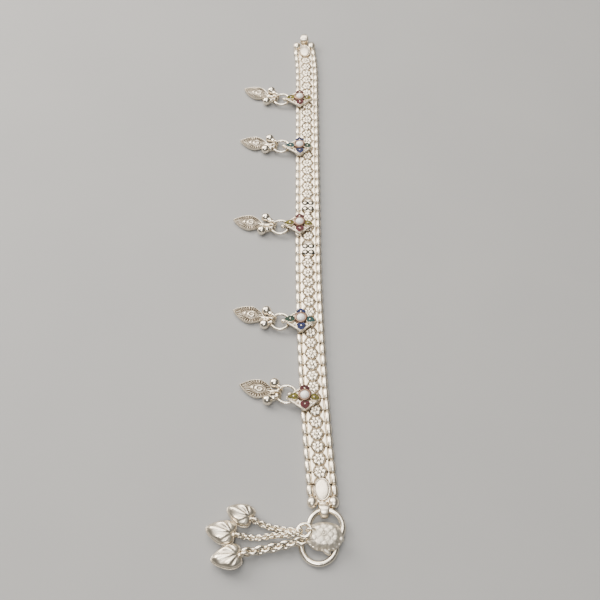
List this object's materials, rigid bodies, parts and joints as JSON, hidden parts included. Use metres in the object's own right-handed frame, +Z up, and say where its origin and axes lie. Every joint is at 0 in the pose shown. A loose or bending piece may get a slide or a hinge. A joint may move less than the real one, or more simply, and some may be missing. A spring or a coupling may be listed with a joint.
{
  "type": "payal anklet",
  "caption": "Silver payal anklet laid open: a flexible flower-link band with enamelled settings, leaf and ball drops, an S-hook clasp and a tassel of puffed hearts.",
  "frame": {"origin": "centre of the anklet's footprint, on the surface it lies on", "axes": "+Y along the band from the S hook to the plain end, +Z up from the surface, drops and tassel towards -X"},
  "size_m": [0.0438, 0.2502, 0.0058],
  "materials": {
    "silver": "soft satin silver, warm white, darkened in its grooves",
    "bright_silver": "polished silver wire and beads, lightly worn",
    "pearl": "glossy white bead with a faint warm lustre",
    "enamel": "glossy vitreous enamel, ruby, olive, teal and deep blue by petal",
    "dark_enamel": "glossy black-green enamel in thin lines"
  },
  "bodies": {
    "root": {"band_run_1": "silver", "band_run_2": "silver", "band_run_3": "silver", "band_run_4": "silver", "band_run_5": "silver", "band_run_6": "silver", "enamel_link_near": "silver", "enamel_link_far": "silver", "end_link_near": "silver", "end_link_far": "silver", "setting_link_1": "silver", "pearl_1": "pearl", "jump_ring_1": "bright_silver", "ball_drop_1_far": "bright_silver", "ball_drop_1_near": "bright_silver", "leaf_drop_1": "silver", "setting_link_2": "silver", "pearl_2": "pearl", "jump_ring_2": "bright_silver", "ball_drop_2_far": "bright_silver", "ball_drop_2_near": "bright_silver", "leaf_drop_2": "silver", "setting_link_3": "silver", "pearl_3": "pearl", "jump_ring_3": "bright_silver", "ball_drop_3_far": "bright_silver", "ball_drop_3_near": "bright_silver", "leaf_drop_3": "silver", "setting_link_4": "silver", "pearl_4": "pearl", "jump_ring_4": "bright_silver", "ball_drop_4_far": "bright_silver", "ball_drop_4_near": "bright_silver", "leaf_drop_4": "silver", "setting_link_5": "silver", "pearl_5": "pearl", "jump_ring_5": "bright_silver", "ball_drop_5_far": "bright_silver", "ball_drop_5_near": "bright_silver", "leaf_drop_5": "silver", "clasp_hook": "bright_silver", "tassel_ring_upper": "bright_silver", "tassel_ring_lower": "bright_silver", "tassel_chain_1": "bright_silver", "heart_1": "silver", "tassel_chain_2": "bright_silver", "heart_2": "silver", "tassel_chain_3": "bright_silver", "heart_3": "silver"}
  },
  "joints": []
}
